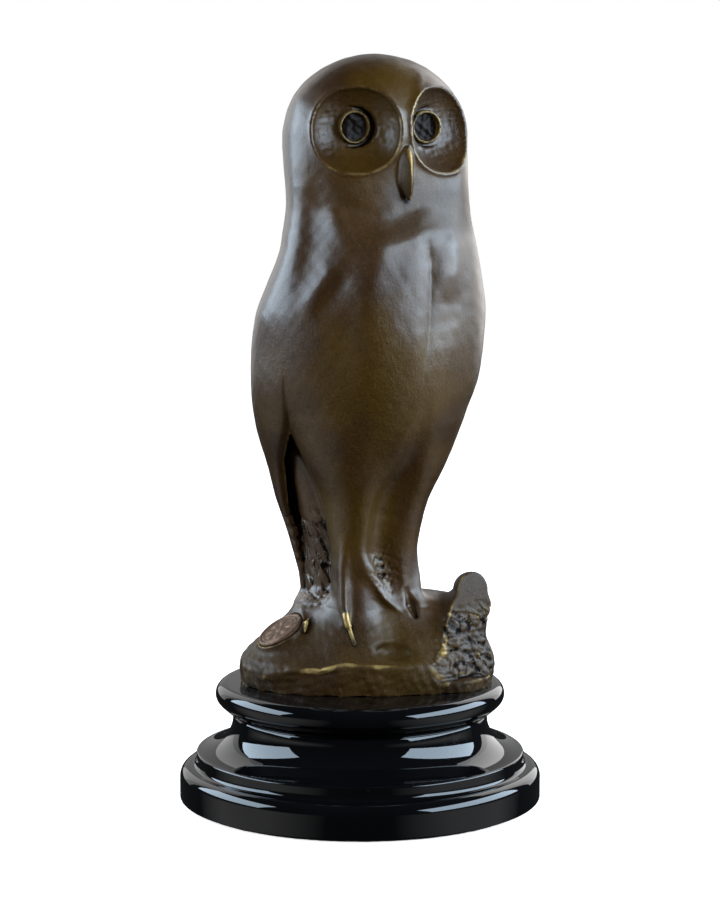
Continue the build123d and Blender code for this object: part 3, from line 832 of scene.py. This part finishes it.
def make_owl(material):
    """Sculpted owl and rock, with the attributes that its material reads."""
    points, quads, normals = sculpt()
    wear, painted_shade = shade(points, normals)
    obj = big_mesh("bronze_owl_and_rock", points, quads)
    set_attribute(obj, "wear", wear)
    # painted shade, which the bronze material reads to darken hollows
    set_attribute(obj, "painted_shade", painted_shade)
    # the golden tone is partly thin patina and partly painted front light
    for name, rule in (("gilt", gilding), ("front_lit_gold", front_light_and_tone), ("dull", dulling)):
        set_attribute(obj, name, in_threads(rule, points))
    obj.data.materials.append(material)
    weld(obj)
    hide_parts("owl_casting")
    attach(obj, "root")


# ---- Node helpers ----
class Nodes:
    """Node tree of a new material, or of the world, with short calls to add and join nodes."""

    def __init__(self, name, world=None):
        self.material = world or bpy.data.materials.new(name)
        self.material.use_nodes = True
        self.tree = self.material.node_tree
        self.shader = self.tree.nodes["Background" if world else "Principled BSDF"]

    def add(self, kind, settings=None, **inputs):
        node = self.tree.nodes.new(kind)
        for key, value in (settings or {}).items():
            setattr(node, key, value)
        for key, value in inputs.items():
            self.put(node.inputs[key.replace("_", " ")], value)
        return node

    def put(self, socket, value):
        if isinstance(value, bpy.types.NodeSocket):
            self.tree.links.new(value, socket)
        else:
            socket.default_value = value

    def set(self, **inputs):
        for key, value in inputs.items():
            self.put(self.shader.inputs[key.replace("_", " ")], value)

    def noise(self, scale, detail=4.0, roughness=0.55, vector=None, distortion=0.0):
        node = self.add("ShaderNodeTexNoise", Scale=scale, Detail=detail, Roughness=roughness)
        node.inputs["Distortion"].default_value = distortion
        self.put(node.inputs["Vector"], vector or self.place())
        return node.outputs["Fac"]

    def place(self):
        if not hasattr(self, "coordinates"):
            self.coordinates = self.add("ShaderNodeTexCoord").outputs["Object"]
        return self.coordinates

    def ramp(self, value, low, high, out_low=0.0, out_high=1.0, way="SMOOTHSTEP"):
        node = self.add("ShaderNodeMapRange", {"interpolation_type": way})
        for index, given in enumerate((value, low, high, out_low, out_high)):
            self.put(node.inputs[index], given)
        return node.outputs[0]

    def math(self, operation, a, b=0.0):
        node = self.add("ShaderNodeMath", {"operation": operation})
        self.put(node.inputs[0], a)
        self.put(node.inputs[1], b)
        return node.outputs[0]

    def mix(self, factor, a, b):
        node = self.add("ShaderNodeMix", {"data_type": "RGBA"})
        self.put(node.inputs[0], factor)
        self.put(node.inputs[6], a)
        self.put(node.inputs[7], b)
        return node.outputs[2]

    def attribute(self, name):
        return self.add("ShaderNodeAttribute", {"attribute_name": name}).outputs["Fac"]

    def bump(self, height, distance, strength=1.0):
        node = self.add("ShaderNodeBump", Strength=strength, Distance=distance, Height=height)
        self.put(self.shader.inputs["Normal"], node.outputs[0])


def bronze():
    """Dark brown patina under wax, worn to bright brass on its edges, with painted shade in its hollows.
    """
    n = Nodes("patinated_bronze")
    patches = n.noise(45, 5, 0.6)
    speckle = n.noise(1500, 2, 0.6)
    wear, painted_shade, gilt = n.attribute("wear"), n.attribute("painted_shade"), n.attribute("gilt")
    front_lit_gold, dull = n.attribute("front_lit_gold"), n.attribute("dull")
    brown = n.mix(n.ramp(patches, 0.38, 0.66), (0.042, 0.0165, 0.003, 1), (0.066, 0.029, 0.0045, 1))
    # golden brown: thin patina and painted front light
    brown = n.mix(n.ramp(front_lit_gold, 0.1, 0.9, 0, 0.9), brown, (0.085, 0.042, 0.002, 1))
    brown = n.mix(n.math("MULTIPLY", dull, 0.5), brown, (0.030, 0.019, 0.006, 1))
    brown = n.mix(n.ramp(speckle, 0.5, 0.75, 0, 0.3), brown, (0.16, 0.10, 0.04, 1))
    brown = n.mix(n.ramp(n.noise(800, 3, 0.7), 0.5, 0.25, 0, 0.55), brown, (0.016, 0.007, 0.002, 1))
    # painted shade: near black where the surface is closed in
    dark = n.mix(n.ramp(painted_shade, 0.25, 0.7), brown, (0.006, 0.004, 0.003, 1))
    ragged = n.math("MULTIPLY", n.math("SUBTRACT", n.noise(260, 4), 0.5), 0.5)
    worn = n.ramp(n.math("ADD", wear, ragged), 0.35, 0.8, 0, 0.5)
    rubbed = n.ramp(n.math("ADD", gilt, ragged), 0.2, 0.8)
    edge = n.math("MAXIMUM", worn, rubbed)
    n.set(Base_Color=n.mix(edge, dark, (0.55, 0.37, 0.13, 1)))
    n.set(Metallic=n.ramp(edge, 0, 1, 0.15, 1.0))
    rough = n.math("ADD", n.ramp(patches, 0.3, 0.7, 0.38, 0.46), n.ramp(painted_shade, 0.3, 0.8, 0, 0.25))
    n.set(Roughness=n.math("ADD", rough, n.math("MULTIPLY", dull, 0.15)))
    # less gloss and coat where the painted shade lies
    outside_painted_shade = n.ramp(painted_shade, 0.35, 0.75, 1.0, 0.12)
    n.set(Specular_IOR_Level=n.math("MULTIPLY", outside_painted_shade, n.ramp(dull, 0, 1, 0.25, 0.12)))
    n.set(Coat_Weight=n.math("MULTIPLY", outside_painted_shade, n.ramp(dull, 0, 1, 0.95, 0.28)))
    n.set(Coat_Roughness=n.ramp(dull, 0, 1, 0.33, 0.42))
    grain = n.math("MULTIPLY", n.noise(900, 4, 0.7), n.ramp(dull, 0, 1, 1.3, 2.4))
    n.bump(n.math("ADD", grain, n.math("MULTIPLY", n.noise(260, 3), 1.0)), 0.00026, 0.8)
    return n.material


def marble():
    """Polished black marble: nearly black, with thin pale veins and specks."""
    n = Nodes("black_marble")
    warp = n.noise(14, 4, 0.6)
    vein_place = n.add("ShaderNodeVectorMath", {"operation": "ADD"})
    n.put(vein_place.inputs[0], n.place())
    n.put(vein_place.inputs[1], n.math("MULTIPLY", warp, 0.05))
    vein = n.noise(22, 6, 0.55, vein_place.outputs[0])
    line = n.ramp(n.math("ABSOLUTE", n.math("SUBTRACT", vein, 0.5)), 0.0, 0.006, 1, 0)
    patchy = n.ramp(n.noise(16, 3), 0.58, 0.72)
    specks = n.ramp(n.noise(1400, 1), 0.80, 0.86)
    base = n.mix(n.noise(30, 3), (0.0012, 0.0013, 0.0016, 1), (0.0035, 0.0038, 0.0045, 1))
    veined = n.mix(n.math("MULTIPLY", line, n.math("MULTIPLY", patchy, 0.3)), base, (0.08, 0.085, 0.09, 1))
    n.set(Base_Color=n.mix(n.math("MULTIPLY", specks, 0.25), veined, (0.25, 0.25, 0.25, 1)))
    n.set(Roughness=n.ramp(n.noise(60, 5), 0.3, 0.75, 0.02, 0.055))
    n.shader.inputs["IOR"].default_value = 1.56
    n.bump(n.noise(400, 3), 0.00002, 0.4)
    return n.material


def copper():
    """Tarnished copper, brighter where its relief stands up and dark in its ground."""
    n = Nodes("seal_copper")
    tarnish = n.noise(500, 4)
    raised = n.ramp(n.attribute("relief"), -0.1, 0.16)
    base = n.mix(n.ramp(tarnish, 0.35, 0.7), (0.24, 0.13, 0.07, 1), (0.12, 0.068, 0.042, 1))
    n.set(Base_Color=n.mix(raised, (0.035, 0.022, 0.016, 1), base))
    n.set(Metallic=n.ramp(tarnish, 0.3, 0.7, 0.6, 0.3))
    n.set(Roughness=n.ramp(tarnish, 0.3, 0.7, 0.45, 0.65))
    n.bump(n.noise(1800, 2), 0.00005, 0.5)
    return n.material


def steel(name, tint):
    """Brushed metal of the given tint."""
    n = Nodes(name)
    darker = tuple(0.7 * c for c in tint[:3]) + (1,)
    brushed = n.noise(900, 3)
    n.set(Base_Color=n.mix(n.ramp(n.noise(250, 4), 0.35, 0.7), tint, darker))
    n.shader.inputs["Metallic"].default_value = 1.0
    n.set(Roughness=n.ramp(brushed, 0.3, 0.7, 0.28, 0.45))
    n.bump(brushed, 0.00003, 0.5)
    return n.material


def rubber():
    """Dull black rubber."""
    n = Nodes("black_rubber")
    n.set(Base_Color=n.mix(n.noise(500, 4), (0.012, 0.012, 0.012, 1), (0.03, 0.03, 0.03, 1)))
    n.set(Roughness=n.ramp(n.noise(700, 3), 0.3, 0.7, 0.6, 0.8))
    n.bump(n.noise(1500, 3), 0.00006, 0.6)
    return n.material


def felt():
    """Dark green wool felt with a soft sheen."""
    n = Nodes("green_felt")
    fibres = n.noise(1600, 5, 0.7, distortion=1.5)
    n.set(Base_Color=n.mix(fibres, (0.004, 0.016, 0.009, 1), (0.014, 0.050, 0.028, 1)))
    n.shader.inputs["Roughness"].default_value = 0.95
    n.shader.inputs["Sheen Weight"].default_value = 0.5
    n.bump(fibres, 0.0002, 0.9)
    return n.material


# ---- Plinth ----
def arc(centre, radius, start, end, steps):
    """Points on an arc, angles in degrees."""
    angles = np.radians(np.linspace(start, end, steps))
    return [(centre[0] + radius * math.cos(t), centre[1] + radius * math.sin(t)) for t in angles]


def curve(start, control, end, steps):
    """Points on a quadratic curve."""
    t = np.linspace(0, 1, steps)[:, None]
    line = (1 - t) ** 2 * np.array(start) + 2 * t * (1 - t) * np.array(control) + t * t * np.array(end)
    return [tuple(p) for p in line]


def lathe(name, profile, material, node, steps=360):
    """Turns a closed profile of radius and height in millimetres about the Z axis."""
    angles = np.arange(steps) * 2 * math.pi / steps
    count = len(profile)
    vertices = [(r * math.cos(t) * MM, r * math.sin(t) * MM, z * MM) for t in angles for r, z in profile]
    faces = []
    for i in range(steps):
        j = (i + 1) % steps
        for k in range(count):
            m = (k + 1) % count
            faces.append((i * count + k, j * count + k, j * count + m, i * count + m))
    obj = mesh_object(name, vertices, faces)
    sharp = obj.modifiers.new("sharp", "EDGE_SPLIT")
    sharp.split_angle = math.radians(38)
    obj.data.materials.append(material)
    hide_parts(node)
    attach(obj, "root")
    return obj


def make_plinth(material):
    """Both marble turnings; the foot's underside is recessed for the fixing."""
    lowest, joint, top = 1.0, 30.8, 42.0
    foot = [(11.0, 13.0), (11.0, lowest + 0.3), (11.3, lowest)]
    foot += [(62.9, lowest)] + arc((62.9, lowest + 0.6), 0.6, -80, 0, 6)
    foot += [(63.5, 4.0), (63.5, 8.6)] + arc((59.4, 8.6), 4.1, 8, 90, 14)
    foot += curve((59.2, 12.72), (57.75, 12.95), (57.6, 15.0), 8)[1:]
    foot += [(57.6, 16.9)] + arc((56.8, 16.9), 0.8, 12, 90, 8)
    foot += curve((56.6, 17.68), (45.9, 19.8), (44.8, 28.4), 48)[1:]
    foot += [(44.8, 30.3), (44.45, joint), (3.5, joint), (3.5, 13.0)]
    lathe("marble_foot_polished", foot, material, "plinth_foot")
    cap = [(3.5, joint), (44.5, joint), (44.95, joint + 0.35)]
    cap += curve((45.2, 31.2), (47.6, 33.2), (49.3, 34.7), 8)
    cap += arc((46.7, 37.9), 4.1, -48, 90, 30)
    cap += [(40.0, top), (3.5, top)]
    lathe("marble_cap_polished", cap, material, "plinth_cap")


# ---- Seal, hardware and felt ----
def make_seal(material):
    """Round seal with a raised rim, a ring of petals and a boss, pressed in low relief."""
    rings, steps = 56, 160
    edge = ((SEAL_RADIUS + 0.05, 1.35), (SEAL_RADIUS + 0.05, 0.1), (SEAL_RADIUS - 0.1, 0.0))
    angles = [2 * math.pi * j / steps for j in range(steps)]
    vertices, faces = [], []
    for i in range(rings + 1):
        r = SEAL_RADIUS * i / rings
        vertices += [(r * math.cos(t), r * math.sin(t), SEAL_FIELD + seal_relief(r, t)) for t in angles]
    for r, z in edge:
        vertices += [(r * math.cos(t), r * math.sin(t), z) for t in angles]
    last = rings + len(edge)
    for i in range(last):
        for j in range(steps):
            k = (j + 1) % steps
            faces.append((i * steps + j, (i + 1) * steps + j, (i + 1) * steps + k, i * steps + k))
    faces.append(tuple(last * steps + j for j in reversed(range(steps))))
    centre, normal = seal_place()
    turn = Vector(normal).to_track_quat("Z", "Y").to_matrix()
    placed = [(turn @ Vector(v) + Vector(centre)) * MM for v in vertices]
    obj = mesh_object("foundry_seal_pressed", placed, faces)
    raised = [seal_relief(math.hypot(x, y), math.atan2(y, x)) for x, y, _ in vertices]
    set_attribute(obj, "relief", np.array(raised))
    obj.data.materials.append(material)
    weld(obj)
    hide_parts("foundry_seal")
    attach(obj, "root")


def seal_relief(r, t):
    """Height of the pressed relief at a radius and an angle, in millimetres."""
    rim = 0.35 * math.exp(-(((r - SEAL_RADIUS + 0.5) / 0.45) ** 4))
    bead = 0.16 * math.exp(-(((r - 6.6) / 0.28) ** 2))
    petal = 0.32 * (0.5 + 0.5 * math.cos(8 * t)) * math.exp(-(((r - 4.1) / 1.6) ** 4))
    boss = 0.34 * math.exp(-((r / 1.3) ** 4))
    return rim + bead + petal + boss


def make_felt(material):
    """Felt ring under the plinth, slightly uneven at its edges."""
    rng = np.random.default_rng(7)
    edge = [(11.0, 0.0), (60.8, 0.0), (61.2, 0.3), (61.2, 0.75), (60.9, 1.0), (11.2, 1.0), (11.0, 0.6)]
    obj = lathe("felt_ring_fuzzy", edge, material, "base_felt", 240)
    for vertex in obj.data.vertices:
        wobble = 1 + rng.normal() * 0.0012
        vertex.co.x *= wobble
        vertex.co.y *= wobble


def dress_node(name, material):
    """Gives a carried-over CAD node its material."""
    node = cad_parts[name]
    node.data.materials.clear()
    node.data.materials.append(material)


# ---- Room ----
def make_room():
    """Pale floor and backdrop, lit evenly so that they run together without a horizon."""
    half = 6
    corners = [(-half, -half, 0), (half, -half, 0), (half, half, 0), (-half, half, 0)]
    floor = mesh_object("studio_floor", corners, [(0, 1, 2, 3)], False)
    n = Nodes("floor_paper")
    n.set(Base_Color=n.mix(n.noise(3, 2), (0.86, 0.86, 0.86, 1), (0.82, 0.82, 0.82, 1)))
    n.shader.inputs["Roughness"].default_value = 0.9
    n.shader.inputs["Emission Color"].default_value = (1, 1, 1, 1)
    reach = n.add("ShaderNodeVectorMath", {"operation": "LENGTH"})
    n.put(reach.inputs[0], n.place())
    n.set(Emission_Strength=n.ramp(reach.outputs["Value"], 0.12, 0.9, 0.78, 1.0))
    floor.data.materials.append(n.material)
    floor.visible_glossy = False
    floor.visible_diffuse = False
    world = bpy.data.worlds.new("studio")
    bpy.context.scene.world = world
    n = Nodes("studio", world)
    n.shader.inputs["Color"].default_value = (1, 1, 1, 1)
    seen = n.add("ShaderNodeLightPath").outputs["Is Camera Ray"]
    n.set(Strength=n.ramp(seen, 0, 1, lit_paper(n), 1, "LINEAR"))


def lit_paper(n):
    """Dim surroundings, brighter low down at the left and right where the softboxes light the paper."""
    direction = n.add("ShaderNodeTexCoord").outputs["Generated"]

    def towards(x, y, z):
        dot = n.add("ShaderNodeVectorMath", {"operation": "DOT_PRODUCT"})
        n.put(dot.inputs[0], direction)
        dot.inputs[1].default_value = (x, y, z)
        return dot.outputs["Value"]

    c, s = math.cos(ROCK_TURN), math.sin(ROCK_TURN)
    sideways = n.ramp(n.math("ABSOLUTE", towards(c, -s, 0)), 0.35, 0.85, 0, 0.4, "LINEAR")
    low = n.ramp(towards(0, 0, 1), 0.12, -0.05, 0, 1, "LINEAR")
    ahead = n.ramp(towards(-s, -c, 0), -0.5, -0.1, 0, 1, "LINEAR")
    glow = n.math("MULTIPLY", n.math("MULTIPLY", sideways, low), ahead)
    return n.math("ADD", glow, 0.02)


def softbox(name, place, aim, width, height, power, tint=(1, 1, 1), glossy=True):
    """Rectangular light turned towards a point; without glossy it leaves no reflection of itself."""
    data = bpy.data.lights.new(name, "AREA")
    data.shape, data.size, data.size_y = "RECTANGLE", width, height
    data.energy, data.color = power, tint
    obj = linked(name, data)
    obj.location = place
    obj.visible_camera = False
    obj.visible_glossy = glossy
    obj.rotation_euler = (Vector(aim) - Vector(place)).to_track_quat("-Z", "Y").to_euler()


def around(azimuth, distance, height):
    """A place round the object; azimuth is counted from the camera's side, positive to its right."""
    angle = math.radians(azimuth - 25.0)
    return (distance * math.sin(angle), -distance * math.cos(angle), height)


def make_lights():
    """Two cool softboxes at the sides, three lights behind and a front fill that leaves no glint."""
    aim = (0, 0, 0.14)
    cool = (0.66, 0.83, 1.0)
    softbox("left_box", around(-93, 0.66, 0.37), aim, 0.80, 0.40, 7.0, cool)
    softbox("right_box", around(80, 0.66, 0.37), aim, 1.05, 0.40, 10.6, cool)
    softbox("back_wall", around(180, 1.5, 0.75), aim, 2.6, 1.5, 4.5)
    softbox("back_left", around(-145, 0.9, 0.45), aim, 0.5, 0.9, 1.0)
    softbox("back_right", around(145, 0.9, 0.45), aim, 0.5, 0.9, 2.5)
    softbox("front_fill", around(5, 1.3, 0.9), aim, 0.9, 0.7, 9.0, glossy=False)


def make_camera():
    """Stands where the photographer stood: level distance, height and lens from the plinth's circles."""
    data = bpy.data.cameras.new("camera")
    data.lens, data.sensor_width, data.clip_start = 109.05, 36.0, 0.01
    obj = linked("camera", data)
    obj.location = around(0, 0.9428, 0.24015)
    target = Vector((0, 0, 0.12354))
    obj.rotation_euler = (target - obj.location).to_track_quat("-Z", "Y").to_euler()
    bpy.context.scene.camera = obj


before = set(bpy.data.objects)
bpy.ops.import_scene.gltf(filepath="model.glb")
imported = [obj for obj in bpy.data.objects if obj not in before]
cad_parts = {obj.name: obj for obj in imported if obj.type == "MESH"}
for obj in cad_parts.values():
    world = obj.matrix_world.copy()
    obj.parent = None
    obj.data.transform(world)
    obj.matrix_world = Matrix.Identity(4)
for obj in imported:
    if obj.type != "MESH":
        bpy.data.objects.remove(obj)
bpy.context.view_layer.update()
bpy.context.scene.view_settings.view_transform = "Standard"
make_camera()
make_room()
make_lights()
make_owl(bronze())
make_seal(copper())
make_plinth(marble())
make_felt(felt())
dress_node("bridge_bar", steel("mild_steel", (0.30, 0.30, 0.31, 1)))
zinc = steel("zinc_plate", (0.62, 0.62, 0.60, 1))
for part in ("tie_stud", "jam_nut", "steel_washer", "fixing_nut"):
    dress_node(part, zinc)
dress_node("cushion_washer", rubber())
